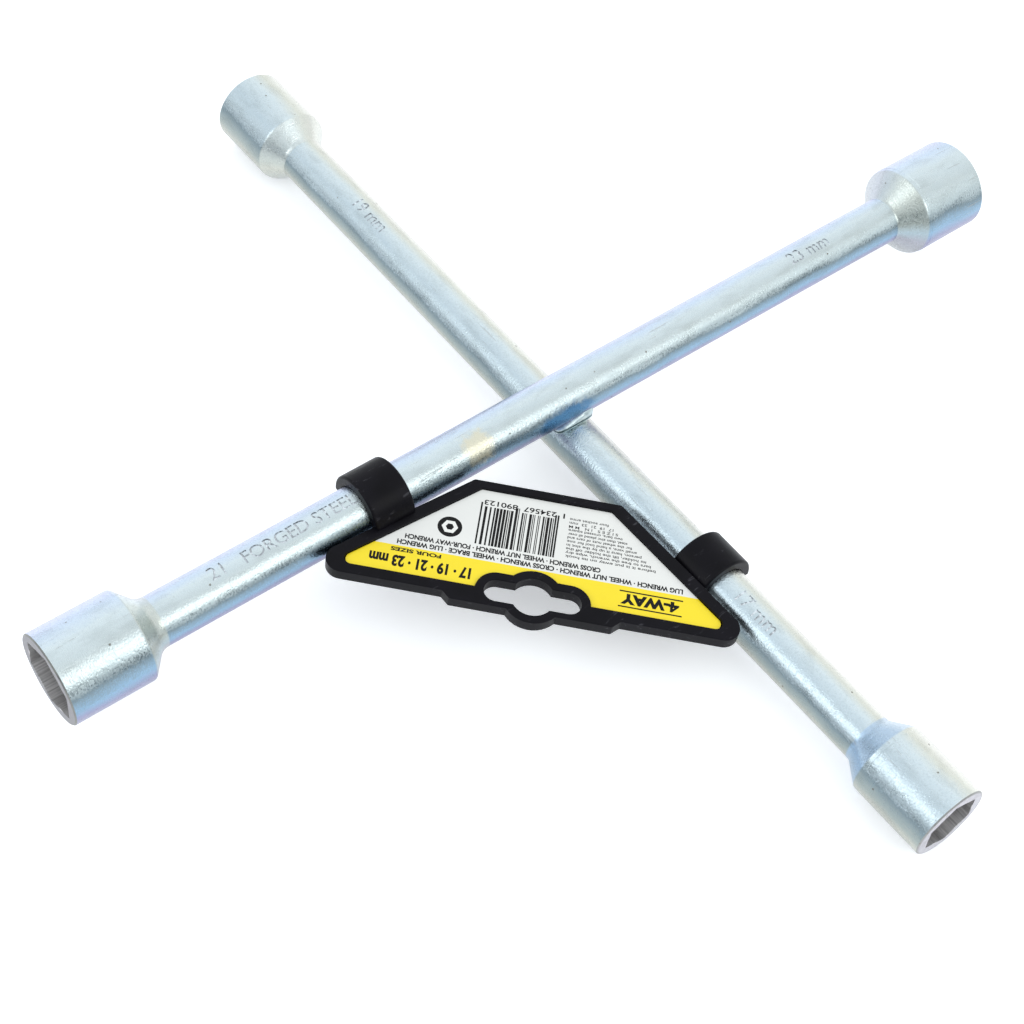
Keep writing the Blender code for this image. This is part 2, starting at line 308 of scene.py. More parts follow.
def plated_surface(name, origin, turn, tints, turning=0.0, stains=(), cone=None):
    """Zinc plating over steel: tints round the axis, mottling, grain, pits and scratches."""
    finish = Finish(name, metallic=1.0)
    point = finish.place(origin, turn)
    along, across, up = finish.parts(point)
    around = across.maths("ARCTAN2", across, up) / math.tau + 0.5

    cloud = finish.noise(point, 20 * MM, detail=2.0)
    blotch = finish.noise(finish.stretch(point, (0.35, 1, 1)), 3.0 * MM, detail=4.0)
    grit = finish.noise(finish.stretch(point, (1.4, 1, 1)), GRAIN, detail=3.0)
    ragged = (cloud - 0.5) * 0.05 + (grit - 0.5) * 0.04
    # Tint round the axis: plating colour and painted reflection, with a painted dark band
    tint = finish.ramp(around + ragged, tints)
    if cone:
        start, end, cone_tint = cone
        reach = along.maths("ABSOLUTE", along)
        on_cone = (finish.smooth(reach, start - 0.3 * MM, start + 0.6 * MM)
                   * finish.smooth(reach, end - 0.4 * MM, end + 0.4 * MM, 1.0, 0.0))
        tint = finish.blend(on_cone * 0.45, tint, cone_tint)
    shade = finish.ramp(blotch, [(0.30, (0.80, 0.80, 0.79)), (0.52, (1.0, 1.0, 1.0)),
                                 (0.72, (0.93, 0.95, 0.97))])
    colour = finish.blend(0.55, tint, shade, "MULTIPLY")
    colour = finish.blend(finish.smooth(grit, 0.50, 0.66) * 0.14, colour, (0.30, 0.34, 0.36))

    streak = finish.noise(finish.stretch(point, (0.06, 1, 1)), 0.9 * MM, detail=3.0)
    pit = finish.specks(point, 5.0 * MM, 0.035, 0.085, "Red", 0.55)
    scratch = finish.smooth(streak, 0.665, 0.70) * finish.smooth(cloud, 0.50, 0.62)
    colour = finish.blend(pit * 0.75, colour, (0.20, 0.17, 0.13))
    colour = finish.blend(scratch * 0.35, colour, (0.42, 0.42, 0.40))
    for stain_along, stain_angle, length, width, stain_colour, strength in stains:
        off_along = (along - stain_along) / length
        off_around = (around - (stain_angle / 360 + 0.5)) * (math.tau * BAR_RADIUS / width)
        frayed = (finish.noise(point, 2.2 * MM, detail=3.0) - 0.5) * 0.9
        spread = (off_along * off_along + off_around * off_around) ** 0.5 + frayed
        stain = finish.smooth(spread, 0.5, 1.05, strength, 0.0)
        colour = finish.blend(stain, colour, stain_colour)
    finish.set("Base Color", colour)

    finish.set("Roughness", 0.30 + (grit - 0.5) * 0.3 + (blotch - 0.5) * 0.14 + pit * 0.3)
    relief = grit * 0.75 + blotch * 0.12 - pit * 1.2 - scratch * 0.4
    if turning:
        rings = finish.noise(finish.stretch(point, (1, 0.03, 0.03)), turning, detail=2.0)
        relief = relief + rings * 0.35
    finish.bump(relief, 0.14 * MM)
    return finish.material


def stamped_surface():
    """Bottoms and walls of stamped letters: plating mottled from dark grey to pale."""
    finish = Finish("stamped_letters", metallic=1.0)
    point = finish.place(CROSSING)
    mottle = finish.noise(point, 0.8 * MM, detail=3.0)
    finish.set("Base Color", finish.ramp(mottle, [
        (0.35, (0.36, 0.38, 0.40)), (0.50, (0.56, 0.60, 0.63)), (0.66, (0.88, 0.93, 0.96))]))
    finish.set("Roughness", 0.42 + (mottle - 0.5) * 0.3)
    finish.bump(mottle, 0.05 * MM)
    return finish.material


def broached_surface(name, origin, turn):
    """Inside of a socket: dull grey steel with lines left along the broach's travel."""
    finish = Finish(name, metallic=1.0)
    point = finish.place(origin, turn)
    lines = finish.noise(finish.stretch(point, (0.04, 1, 1)), 0.42 * MM, detail=4.0)
    cloud = finish.noise(point, 5 * MM, detail=3.0)
    colour = finish.ramp(lines, [(0.30, (0.46, 0.45, 0.45)), (0.50, (0.68, 0.67, 0.67)),
                                 (0.72, (0.88, 0.86, 0.86))])
    finish.set("Base Color", finish.blend(cloud * 0.4, colour, (0.52, 0.50, 0.49)))
    finish.set("Roughness", 0.42 + (lines - 0.5) * 0.3)
    finish.bump(lines, 0.05 * MM)
    return finish.material


FACING_PITCH = 0.35 * MM       # between the rings that facing left


def faced_surface(name, origin, turn, shade, outer_radius):
    """Turned face round a socket's mouth: pale lilac, with fine rings, nicks and a worn rim."""
    finish = Finish(name, metallic=1.0)
    point = finish.place(origin, turn)
    along, across, up = finish.parts(point)
    radius = (across * across + up * up) ** 0.5
    turns = radius * (math.tau / FACING_PITCH)
    rings = turns.maths("SINE", turns)
    cloud = finish.noise(point, 1.8 * MM, detail=4.0)
    nick = finish.smooth(finish.noise(point, 0.9 * MM, detail=2.0), 0.64, 0.72)
    colour = finish.ramp(cloud, [(0.35, (0.72, 0.70, 0.76)), (0.55, (0.94, 0.92, 1.0)),
                                 (0.70, (1.0, 1.0, 1.0))])
    # Painted shade: the whole face is multiplied by this socket's own grey, darker or lighter
    colour = finish.blend(1.0, colour, (shade, shade, shade), "MULTIPLY")
    rim = finish.smooth(radius + (cloud - 0.5) * (1.6 * MM), outer_radius - 0.9 * MM,
                        outer_radius - 0.1 * MM)
    colour = finish.blend(rim * 0.7, colour, (0.24, 0.25, 0.22))
    finish.set("Base Color", finish.blend(nick * 0.6, colour, (0.20, 0.19, 0.17)))
    finish.set("Roughness", 0.42 + (cloud - 0.5) * 0.25)
    finish.bump(rings * 0.2 + cloud * 0.5 - nick * 0.8, 0.02 * MM)
    return finish.material


def weld_surface():
    """Squeezed-out weld under the plating: smooth, pale and slightly rippled."""
    finish = Finish("plated_weld", metallic=1.0)
    point = finish.place(CROSSING)
    ripple = finish.noise(finish.stretch(point, (1, 0.4, 1)), 1.6 * MM, detail=3.0)
    grit = finish.noise(point, 0.35 * MM, detail=2.0)
    finish.set("Base Color", finish.ramp(ripple, [
        (0.30, (0.40, 0.48, 0.51)), (0.50, (0.52, 0.62, 0.64)), (0.72, (0.66, 0.74, 0.75))]))
    finish.set("Roughness", 0.38 + (grit - 0.5) * 0.2)
    finish.bump(ripple * 0.7 + grit * 0.3, 0.05 * MM)
    return finish.material


def hanger_plastic():
    """Black moulded plastic: fine mould texture, dull patches, and pale scuffs."""
    finish = Finish("moulded_black_plastic", specular=0.11)
    point = finish.place(CROSSING)
    texture = finish.noise(point, 0.28 * MM, detail=3.0)
    cloud = finish.noise(point, 9 * MM, detail=3.0)
    rub = finish.noise(finish.stretch(point, (0.25, 1, 1)), 1.1 * MM, detail=4.0,
                       distortion=0.6)
    scuff = finish.smooth(rub, 0.60, 0.70) * finish.smooth(cloud, 0.42, 0.60)
    colour = finish.ramp(cloud, [(0.3, (0.0030, 0.0027, 0.0040)),
                                 (0.7, (0.0060, 0.0054, 0.0085))])
    finish.set("Base Color", finish.blend(scuff * 0.22, colour, (0.16, 0.16, 0.18)))
    finish.set("Roughness", 0.36 + (cloud - 0.5) * 0.22 + (texture - 0.5) * 0.12)
    finish.bump(texture * 0.7 + cloud * 0.3 - scuff * 0.2, 0.03 * MM)
    return finish.material


def card_surface(name, colour, soiled):
    """Printed and varnished card, with a faint fibre and handling marks."""
    finish = Finish(name)
    point = finish.place(CROSSING)
    fibre = finish.noise(finish.stretch(point, (1, 0.4, 1)), 0.5 * MM, detail=3.0)
    cloud = finish.noise(point, 12 * MM, detail=3.0)
    fleck = finish.specks(point, 6 * MM, 0.03, 0.06, "Green", 0.7)
    shaded = finish.blend(finish.smooth(cloud, 0.35, 0.75) * 0.5, colour, soiled)
    finish.set("Base Color", finish.blend(fleck * 0.5, shaded, (0.95, 0.93, 0.85)))
    finish.set("Roughness", 0.42 + (cloud - 0.5) * 0.2)
    finish.set("Coat Weight", 0.12 + (cloud - 0.5) * 0.1)
    finish.bump(fibre * 0.6 + fleck, 0.008 * MM)
    return finish.material


def ink_surface(name, colour):
    """Printing ink: thin, slightly uneven."""
    finish = Finish(name, specular=0.2)
    point = finish.place(CROSSING)
    speck = finish.noise(point, 0.25 * MM, detail=2.0)
    worn = finish.blend(finish.smooth(speck, 0.60, 0.80) * 0.15, colour, (0.30, 0.30, 0.28))
    finish.set("Base Color", worn)
    finish.set("Roughness", 0.40 + (speck - 0.5) * 0.2)
    finish.bump(speck, 0.004 * MM)
    return finish.material


# -------- mesh tools

SAME_POINT = 0.001 * MM        # points closer than this are merged
FONT_CAP_SHARE = 0.70          # capital height of the built-in font at size 1


def new_piece(name, bm, materials, place=Matrix()):
    """A bmesh made a piece: placed in its mesh, closed, faces outwards."""
    bmesh.ops.transform(bm, matrix=place, verts=bm.verts)
    bmesh.ops.remove_doubles(bm, verts=bm.verts, dist=SAME_POINT)
    bmesh.ops.recalc_face_normals(bm, faces=bm.faces)
    mesh = bpy.data.meshes.new(name)
    bm.to_mesh(mesh)
    bm.free()
    for material in materials:
        mesh.materials.append(material)
    piece = bpy.data.objects.new(name, mesh)
    bpy.context.scene.collection.objects.link(piece)
    return piece


def bake_modifiers(piece):
    """Keep the shape that a piece's modifiers give, and drop the modifiers."""
    graph = bpy.context.evaluated_depsgraph_get()
    mesh = bpy.data.meshes.new_from_object(piece.evaluated_get(graph))
    mesh.name = piece.name
    piece.modifiers.clear()
    piece.data = mesh


def combine(piece, others, operation="DIFFERENCE"):
    """Cut other solids out of a piece, or weld them to it, one after another."""
    for other in others:
        boolean = piece.modifiers.new(other.name, "BOOLEAN")
        boolean.object = other
        boolean.operation = operation
        boolean.solver = "EXACT"
    bake_modifiers(piece)
    for other in others:
        bpy.data.objects.remove(other, do_unlink=True)


def smooth_shading(piece, angle):
    piece.data.shade_smooth()
    piece.data.set_sharp_from_angle(angle=math.radians(angle))
    weighted = piece.modifiers.new("even_shading", "WEIGHTED_NORMAL")
    weighted.keep_sharp = True
    bake_modifiers(piece)


def shade_as_round(piece, origin, direction):
    """Give the faces that lie round an axis the normals of a true cylinder."""
    mesh = piece.data
    mesh.shade_smooth()
    normals = [corner.vector.copy() for corner in mesh.corner_normals]
    for face in mesh.polygons:
        outward = radial(face.center - origin, direction)
        is_end = abs(face.normal.dot(direction)) > 0.5
        is_wall = face.material_index == 1 and face.normal.dot(outward.normalized()) < 0.97
        is_round = not (is_end or is_wall)
        for corner in face.loop_indices:
            normal = face.normal
            if is_round:
                point = mesh.vertices[mesh.loops[corner].vertex_index].co
                normal = radial(point - origin, direction).normalized()
            normals[corner] = normal
    mesh.normals_split_custom_set([tuple(normal) for normal in normals])


def radial(offset, direction):
    return offset - direction * offset.dot(direction)


def turned(profile, steps=ROUND_STEPS):
    """Solid of revolution about +X from (along, radius) points that start and end on it."""
    bm = bmesh.new()
    points = [bm.verts.new((along, 0, radius)) for along, radius in profile]
    edges = [bm.edges.new(pair) for pair in zip(points, points[1:])]
    bmesh.ops.spin(bm, geom=points + edges, axis=(1, 0, 0), cent=(0, 0, 0),
                   angle=math.tau, steps=steps, use_merge=True)
    return bm


def rod(radius, start, end, steps=ROUND_STEPS):
    return turned([(start, 0), (start, radius), (end, radius), (end, 0)], steps)


def prism(outline, low, high):
    """Closed solid between two heights from a flat outline."""
    bm = bmesh.new()
    face = bm.faces.new([bm.verts.new((x, y, low)) for x, y in outline])
    grown = bmesh.ops.extrude_face_region(bm, geom=[face])
    top = [part for part in grown["geom"] if isinstance(part, bmesh.types.BMVert)]
    bmesh.ops.translate(bm, verts=top, vec=(0, 0, high - low))
    return bm


def soften(bm, edges, width):
    bmesh.ops.bevel(bm, geom=edges, offset=width, offset_type="OFFSET", affect="EDGES",
                    segments=SOFT_STEPS, profile=0.5, material=-1, clamp_overlap=True)


def arc(centre, radius, start, end):
    """Points along an arc, angles in degrees, both ends included."""
    steps = max(1, round(abs(end - start) / ARC_STEP))
    turns = [math.radians(start + (end - start) * i / steps) for i in range(steps + 1)]
    return [(centre[0] + radius * math.cos(turn), centre[1] + radius * math.sin(turn))
            for turn in turns]


def rounded(points, closed):
    """Polyline through (x, y, radius) corners, each with an arc of its radius."""
    outline = []
    count = len(points)
    for i, (x, y, radius) in enumerate(points):
        at_end = not closed and i in (0, count - 1)
        if radius == 0 or at_end:
            outline.append((x, y))
            continue
        here = Vector((x, y))
        before = (Vector(points[i - 1][:2]) - here).normalized()
        after = (Vector(points[(i + 1) % count][:2]) - here).normalized()
        half = before.angle(after) / 2
        centre = here + (before + after).normalized() * radius / math.sin(half)
        first = here + before * radius / math.tan(half) - centre
        last = here + after * radius / math.tan(half) - centre
        start = math.degrees(math.atan2(first.y, first.x))
        sweep = math.degrees(math.atan2(first.x * last.y - first.y * last.x, first.dot(last)))
        outline += arc(centre, radius, start, start + sweep)
    return outline


def lettering(text, cap_height, thickness, weight=0.0):
    """Solid letters as a bmesh: read along +X, up is +Y, half above and half below Z = 0."""
    curve = bpy.data.curves.new("lettering", "FONT")
    curve.body = text
    curve.size = cap_height / FONT_CAP_SHARE
    curve.offset = weight
    curve.extrude = thickness / 2
    curve.resolution_u = 4
    letters = bpy.data.objects.new("lettering", curve)
    bpy.context.scene.collection.objects.link(letters)
    graph = bpy.context.evaluated_depsgraph_get()
    mesh = bpy.data.meshes.new_from_object(letters.evaluated_get(graph))
    bm = bmesh.new()
    bm.from_mesh(mesh)
    bmesh.ops.remove_doubles(bm, verts=bm.verts, dist=0.0005 * MM)
    bpy.data.objects.remove(letters, do_unlink=True)
    bpy.data.meshes.remove(mesh)
    return bm


def add_to(bm, extra, place):
    """Move another bmesh's shapes into this one."""
    bmesh.ops.transform(extra, matrix=place, verts=extra.verts)
    mesh = bpy.data.meshes.new("moved")
    extra.to_mesh(mesh)
    extra.free()
    bm.from_mesh(mesh)
    bpy.data.meshes.remove(mesh)


# -------- bars

STAMP_DEPTH = 0.25 * MM
DIE_HEIGHT = 3 * MM
CORE_STEPS = 90                # sides of the core that stops the letters at their depth
SOCKET_OVERLAP = 1 * MM        # how far a bar runs on inside its sockets
# Text, distance of its first letter from the crossing in millimetres, height of its foot round
# the bar in degrees from the hanger's side up over the top, which way along the bar, and its
# capital height in millimetres
UPPER_STAMPS = [
    ("21", 130, 74, -1, 4.4),
    ("FORGED STEEL", 119, 72, -1, 4.1),
    ("23 mm", 94, 68, 1, 4.4),
]
LOWER_STAMPS = [
    ("17 mm", 85.5, 64, 1, 4.4),
    ("19 mm", 113, 68, -1, 4.4),
]


def stamp_die(text, cap_height, spot, out, reading, materials):
    """Letters that stand across the bar's surface at a spot, facing out."""
    place = Matrix((reading, out.cross(reading), out)).transposed().to_4x4()
    place.translation = spot + out * BAR_RADIUS
    return new_piece("die", lettering(text, cap_height, DIE_HEIGHT), materials, place)


def make_bar(name, axis, heading, stamps, reading, side, materials):
    """A round bar that runs into its two sockets, with the sizes stamped into it."""
    low, high = corners(name)
    direction = Vector((1, 0, 0)) if heading == 0 else Vector((0, 1, 0))
    start = (low - axis).dot(direction) - SOCKET_OVERLAP
    end = (high - axis).dot(direction) + SOCKET_OVERLAP
    place = Matrix.Translation(axis) @ Matrix.Rotation(math.radians(heading), 4, "Z")
    bar = new_piece(name + "_steel", rod(BAR_RADIUS, start, end), materials, place)
    for text, distance, height_angle, way, cap in stamps:
        angle = math.radians(height_angle)
        out = side * math.cos(angle) + Vector((0, 0, math.sin(angle)))
        spot = axis + reading * way * distance * MM
        die = stamp_die(text, cap * MM, spot, out, reading, materials)
        core = new_piece("core", rod(BAR_RADIUS - STAMP_DEPTH, start, end, CORE_STEPS), [],
                         place)
        combine(die, [core])
        for face in die.data.polygons:
            face.material_index = 1
        combine(bar, [die])
    return bar, direction


def make_bars():
    """Both bars, with the upper one cut to sit over the lower one like a saddle."""
    upper_material = plated_surface("plated_upper_bar", UPPER_AXIS, 0, UPPER_TINTS_AND_PAINTED_REFLECTION,
                                    stains=(YELLOW_STAIN, HEAT_TINT))
    lower_material = plated_surface("plated_lower_bar", LOWER_AXIS, 90, LOWER_TINTS_AND_PAINTED_REFLECTION)
    stamped = stamped_surface()
    upper, along_upper = make_bar("upper_bar", UPPER_AXIS, 0, UPPER_STAMPS, Vector((1, 0, 0)),
                                  Vector((0, -1, 0)), [upper_material, stamped])
    saddle = new_piece("saddle", rod(BAR_RADIUS + JOINT_LINE, -2 * SOCKET_LENGTH,
                                     2 * SOCKET_LENGTH), [],
                       Matrix.Translation(LOWER_AXIS) @ Matrix.Rotation(math.pi / 2, 4, "Z"))
    combine(upper, [saddle])
    lower, along_lower = make_bar("lower_bar", LOWER_AXIS, 90, LOWER_STAMPS,
                                  Vector((0, -1, 0)), Vector((-1, 0, 0)),
                                  [lower_material, stamped])
    for piece, axis, direction, node in ((upper, UPPER_AXIS, along_upper, "upper_bar"),
                                         (lower, LOWER_AXIS, along_lower, "lower_bar")):
        shade_as_round(piece, axis, direction)
        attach(piece, "wrench")
        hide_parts(node)


# -------- sockets

# Outer shape of each socket: fillet where the cone meets the bar, rounding of the shoulder,
# depth of the turned step at the shoulder; then the cone's tint and the mouth's brightness,
# a painted shade that makes one turned finish darker or lighter for each socket
SOCKET_SHAPES = {
    "socket_17": (2.5 * MM, 0.8 * MM, 0.10 * MM, (0.33, 0.52, 0.80), 0.58),
    "socket_19": (2.5 * MM, 1.6 * MM, 0.0, (0.72, 0.74, 0.68), 0.50),
    "socket_21": (4.5 * MM, 1.5 * MM, 0.0, (0.62, 0.62, 0.51), 0.28),
    "socket_23": (1.2 * MM, 1.4 * MM, 0.15 * MM, (0.52, 0.54, 0.46), 0.50),
}
MOUTH_CHAMFER = 0.45 * MM
LEAD_IN_SHARE = 0.10           # how far the lead-in opens from the flats to the corners
HEX_CORNER_RELIEF = 0.5 * MM
DRILL_ALLOWANCE = 0.15 * MM
FACE_SKIN = 0.02 * MM          # how far behind the mouth its turned face may reach
TURNING_PITCH = 0.4 * MM       # of the lines that turning left on the outside


def socket_outline(name, outer_radius, mouth):
    """Outside of a socket along its arm, from the bar's end to the mouth."""
    fillet, shoulder_round, step = SOCKET_SHAPES[name][:3]
    shoulder = mouth - SOCKET_LENGTH
    start = shoulder - CONE_LENGTH
    points = [
        (start, 0, 0),
        (start, BAR_RADIUS + JOINT_LINE, 0),
        (start + fillet / 2, BAR_RADIUS + JOINT_LINE, fillet),
        (shoulder, outer_radius - step, shoulder_round),
    ]
    if step:
        points += [
            (shoulder + 1.4 * MM, outer_radius - step, 0.3 * MM),
            (shoulder + 1.5 * MM, outer_radius, 0.1 * MM),
        ]
    points += [
        (mouth - MOUTH_CHAMFER, outer_radius, 0.3 * MM),
        (mouth, outer_radius - MOUTH_CHAMFER, 0.3 * MM),
        (mouth, 0, 0),
    ]
    return rounded(points, closed=False)


def hexagon_broach(across_flats, turn, mouth):
    """The broach: a hexagon with its corners eased, standing in the mouth."""
    corner = across_flats / math.sqrt(3)
    outline = rounded([(corner * math.cos(a), corner * math.sin(a), HEX_CORNER_RELIEF)
                       for a in (math.tau * i / 6 for i in range(6))], closed=True)
    bm = prism(outline, -HEX_DEPTH, CUT_MARGIN)
    upright = Matrix.Rotation(math.pi / 2, 4, "Y") @ Matrix.Rotation(math.radians(turn), 4, "Z")
    bmesh.ops.transform(bm, matrix=Matrix.Translation((mouth, 0, 0)) @ upright, verts=bm.verts)
    return bm


def sort_finishes(socket, axis, direction, mouth, corner):
    """Turned finish on the mouth's face and chamfer, broached inside, plating outside."""
    for face in socket.data.polygons:
        offset = face.center - axis
        outward = radial(offset, direction)
        depth = mouth - offset.dot(direction)
        on_chamfer = depth < MOUTH_CHAMFER and outward.length > corner
        if on_chamfer or depth < FACE_SKIN:
            face.material_index = 2
        elif depth < DRILL_DEPTH + DRILL_POINT and outward.length < corner:
            is_inside = face.normal.dot(outward) < 0 or abs(face.normal.dot(direction)) > 0.3
            face.material_index = 1 if is_inside else 0


def make_socket(name):
    """A socket turned outside, then broached, drilled and given its lead-in."""
    across, heading, turn = SOCKETS[name]
    on_upper = heading % 180 == 0
    axis = UPPER_AXIS if on_upper else LOWER_AXIS
    spin = Matrix.Rotation(math.radians(heading), 4, "Z")
    place = Matrix.Translation(axis) @ spin
    low, high = corners(name)
    direction = spin @ Vector((1, 0, 0))
    mouth = max((low - axis).dot(direction), (high - axis).dot(direction))
    outer_radius = (high.z - low.z) / 2
    flat = across / 2
    corner = across / math.sqrt(3)

    turn_of_bar = 0 if on_upper else 90
    # The bar's tints, partly painted reflection, go round the socket as well
    tints = UPPER_TINTS_AND_PAINTED_REFLECTION if on_upper else LOWER_TINTS_AND_PAINTED_REFLECTION
    cone_tint, mouth_painted_shade = SOCKET_SHAPES[name][3:]
    shoulder = mouth - SOCKET_LENGTH
    materials = [
        plated_surface("plated_" + name, axis, turn_of_bar, tints, turning=TURNING_PITCH,
                       cone=(shoulder - CONE_LENGTH, shoulder, cone_tint)),
        broached_surface("broached_" + name, axis, turn_of_bar),
        faced_surface("faced_" + name, axis, turn_of_bar, mouth_painted_shade, outer_radius),
    ]
    body = turned(socket_outline(name, outer_radius, mouth))
    socket = new_piece(name + "_steel", body, materials, place)

    core = flat - DRILL_ALLOWANCE
    opening = flat + (corner - flat) * LEAD_IN_SHARE
    lead = opening - core
    broach = new_piece("broach", hexagon_broach(across, turn, mouth), materials[:2], place)
    drill = new_piece("drill", turned([
        (mouth - DRILL_DEPTH - DRILL_POINT, 0), (mouth - DRILL_DEPTH, core),
        (mouth - HEX_DEPTH / 2, core), (mouth - HEX_DEPTH / 2, 0)]), materials[:2], place)
    lead_in = new_piece("lead_in", turned([
        (mouth - lead, 0), (mouth - lead, core), (mouth + lead, opening + lead),
        (mouth + lead, 0)]), materials[:2], place)
    combine(socket, [broach, drill, lead_in])

    sort_finishes(socket, axis, direction, mouth, corner)
    smooth_shading(socket, SOCKET_SHARP_ANGLE)
    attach(socket, "wrench")
    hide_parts(name)


# -------- weld

WELD_START = -8.6 * MM         # along the upper bar, from the crossing
WELD_END = 6.6 * MM
WELD_REACH = 8.85 * MM         # out from the upper bar's axis
WELD_END_REACH = 6.6 * MM      # the same at both ends
WELD_ROOT = 5.4 * MM           # inside the upper bar
# Lips of the weld: underside above the crossing, thickness of the edge, climb up the bar
WELD_LIPS = ((2.45 * MM, 0.55 * MM, 2.1 * MM), (1.30 * MM, 0.40 * MM, 0.0))
WELD_STEPS = 40
WELD_SHARP_ANGLE = 50          # degrees
WELD_RIPPLE = 0.05 * MM
WELD_RIPPLE_RATE = 350         # per metre


def weld_section(share, foot, thick, climb):
    """Section of the lip as (out from the axis, height), from its thin end to its thick end."""
    ease = math.sqrt(max(0.0, 1 - abs(2 * share - 1) ** 7))
    swell = share * share * (3 - 2 * share)
    reach = WELD_END_REACH + (WELD_REACH - WELD_END_REACH) * ease
    top = foot + thick + climb * swell * ease
    drop = UPPER_AXIS.z - CROSSING.z - top
    contact = math.sqrt(BAR_RADIUS ** 2 - drop ** 2) - 0.1 * MM
    edge = foot + thick
    bulge = ((reach + contact) / 2 + 0.25 * MM * swell, (edge + top) / 2 + 0.1 * MM)
    return [
        (WELD_ROOT, foot),
        (reach - 0.30 * MM, foot),
        (reach - 0.05 * MM, foot + 0.12 * MM),
        (reach, foot + thick / 2),
        (reach - 0.06 * MM, edge - 0.05 * MM),
        (max(bulge[0], contact), bulge[1]),
        (contact, top),
        (WELD_ROOT, top - 0.3 * MM),
    ]


def weld_ring(bm, side, lip, share):
    """Points of one section of a lip, slightly rippled."""
    along = WELD_START + (WELD_END - WELD_START) * share
    ring = []
    for out, height in weld_section(share, *lip):
        spot = Vector((side * along, -side * out, height))
        spot.z += noise.noise(spot * WELD_RIPPLE_RATE) * WELD_RIPPLE
        ring.append(bm.verts.new(spot))
    return ring


def make_weld():
    """Lip of metal squeezed out along each side of the upper bar, above the lower one."""
    bm = bmesh.new()
    for side in (1, -1):
        for lip in WELD_LIPS:
            rings = [weld_ring(bm, side, lip, step / WELD_STEPS)
                     for step in range(WELD_STEPS + 1)]
            for here, there in zip(rings, rings[1:]):
                for i in range(len(here)):
                    bm.faces.new((here[i - 1], here[i], there[i], there[i - 1]))
            bm.faces.new(rings[0])
            bm.faces.new(rings[-1])
    weld = new_piece("weld_lip", bm, [weld_surface()], Matrix.Translation(CROSSING))
    smooth_shading(weld, WELD_SHARP_ANGLE)
    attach(weld, "wrench")
    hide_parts("crossing_weld")


# -------- hanger

RIM_SOFTNESS = 0.7 * MM
EDGE_SOFTNESS = 0.35 * MM
CLIP_SOFTNESS = 0.8 * MM
HANGER_SHARP_ANGLE = 34        # degrees


def plate_outline():
    """Plate from above as (across, -outwards), with the stepped tab on its long edge."""
    slope = math.radians(PLATE_SIDE_ANGLE)
    corner = PLATE_INNER_HALF + (PLATE_OUTER - PLATE_INNER) / math.tan(slope)
    tab = PLATE_OUTER + TAB_DEPTH
    bulge_radius = SLOT_HOLE_RADIUS + SLOT_COLLAR
    bulge_turn = math.degrees(math.asin((tab - SLOT_CENTRE) / bulge_radius))
    bulge = [(x, y, 0) for x, y in arc((0, SLOT_CENTRE), bulge_radius, bulge_turn,
                                       180 - bulge_turn)]
    right = [
        (PLATE_INNER_HALF, PLATE_INNER, SMALL_ROUND),
        (corner, PLATE_OUTER, PLATE_ROUND),
        (TAB_HALF + TAB_DEPTH, PLATE_OUTER, SMALL_ROUND),
        (TAB_HALF, tab, SMALL_ROUND),
    ]
    left = [(-x, y, radius) for x, y, radius in reversed(right)]
    return [(x, -y) for x, y in rounded(right + bulge + left, closed=True)]


def label_outline(gap):
    """The label's outline before the slot's collar is cut out, shrunk by a gap."""
    slope = math.radians(PLATE_SIDE_ANGLE)
    inner = LABEL_INNER + gap
    outer = LABEL_OUTER - gap
    side = gap / math.sin(slope) + gap / math.tan(slope)
    inner_half = LABEL_INNER_HALF - side + 2 * gap / math.tan(slope)
    outer_half = inner_half + (outer - inner) / math.tan(slope)
    points = [
        (inner_half, inner, SMALL_ROUND),
        (outer_half, outer, LABEL_ROUND),
        (-outer_half, outer, LABEL_ROUND),
        (-inner_half, inner, SMALL_ROUND),
    ]
    return [(x, -y) for x, y in rounded(points, closed=True)]


def slot_outline(grow):
    """Hanging slot, a hole with a wing on each side, or the collar round it when grown."""
    hole = SLOT_HOLE_RADIUS + grow
    wing = SLOT_HALF_HEIGHT + grow
    end = SLOT_HALF_LENGTH - SLOT_HALF_HEIGHT
    turn = math.degrees(math.asin(wing / hole))
    points = arc((end, 0), wing, -90, 90)
    points += arc((0, 0), hole, turn, 180 - turn)
    points += arc((-end, 0), wing, 90, 270)
    points += arc((0, 0), hole, 180 + turn, 360 - turn)
    return [(x, y - SLOT_CENTRE) for x, y in points]


def arch(radius, below, length, softness=0.0):
    """Upright arch over a bar, drawn out along +X: half round on top, straight skirts."""
    outline = arc((0, 0), radius, 0, 180) + [(-radius, -below), (radius, -below)]
    bm = prism(outline, -length / 2, length / 2)
    if softness:
        rims = [edge for edge in bm.edges
                if abs(edge.verts[0].co.z - edge.verts[1].co.z) < FLAT_TOLERANCE]
        soften(bm, rims, softness)
    along = Matrix(((0, 0, 1, 0), (1, 0, 0, 0), (0, 1, 0, 0), (0, 0, 0, 1)))
    bmesh.ops.transform(bm, matrix=along, verts=bm.verts)
    return bm


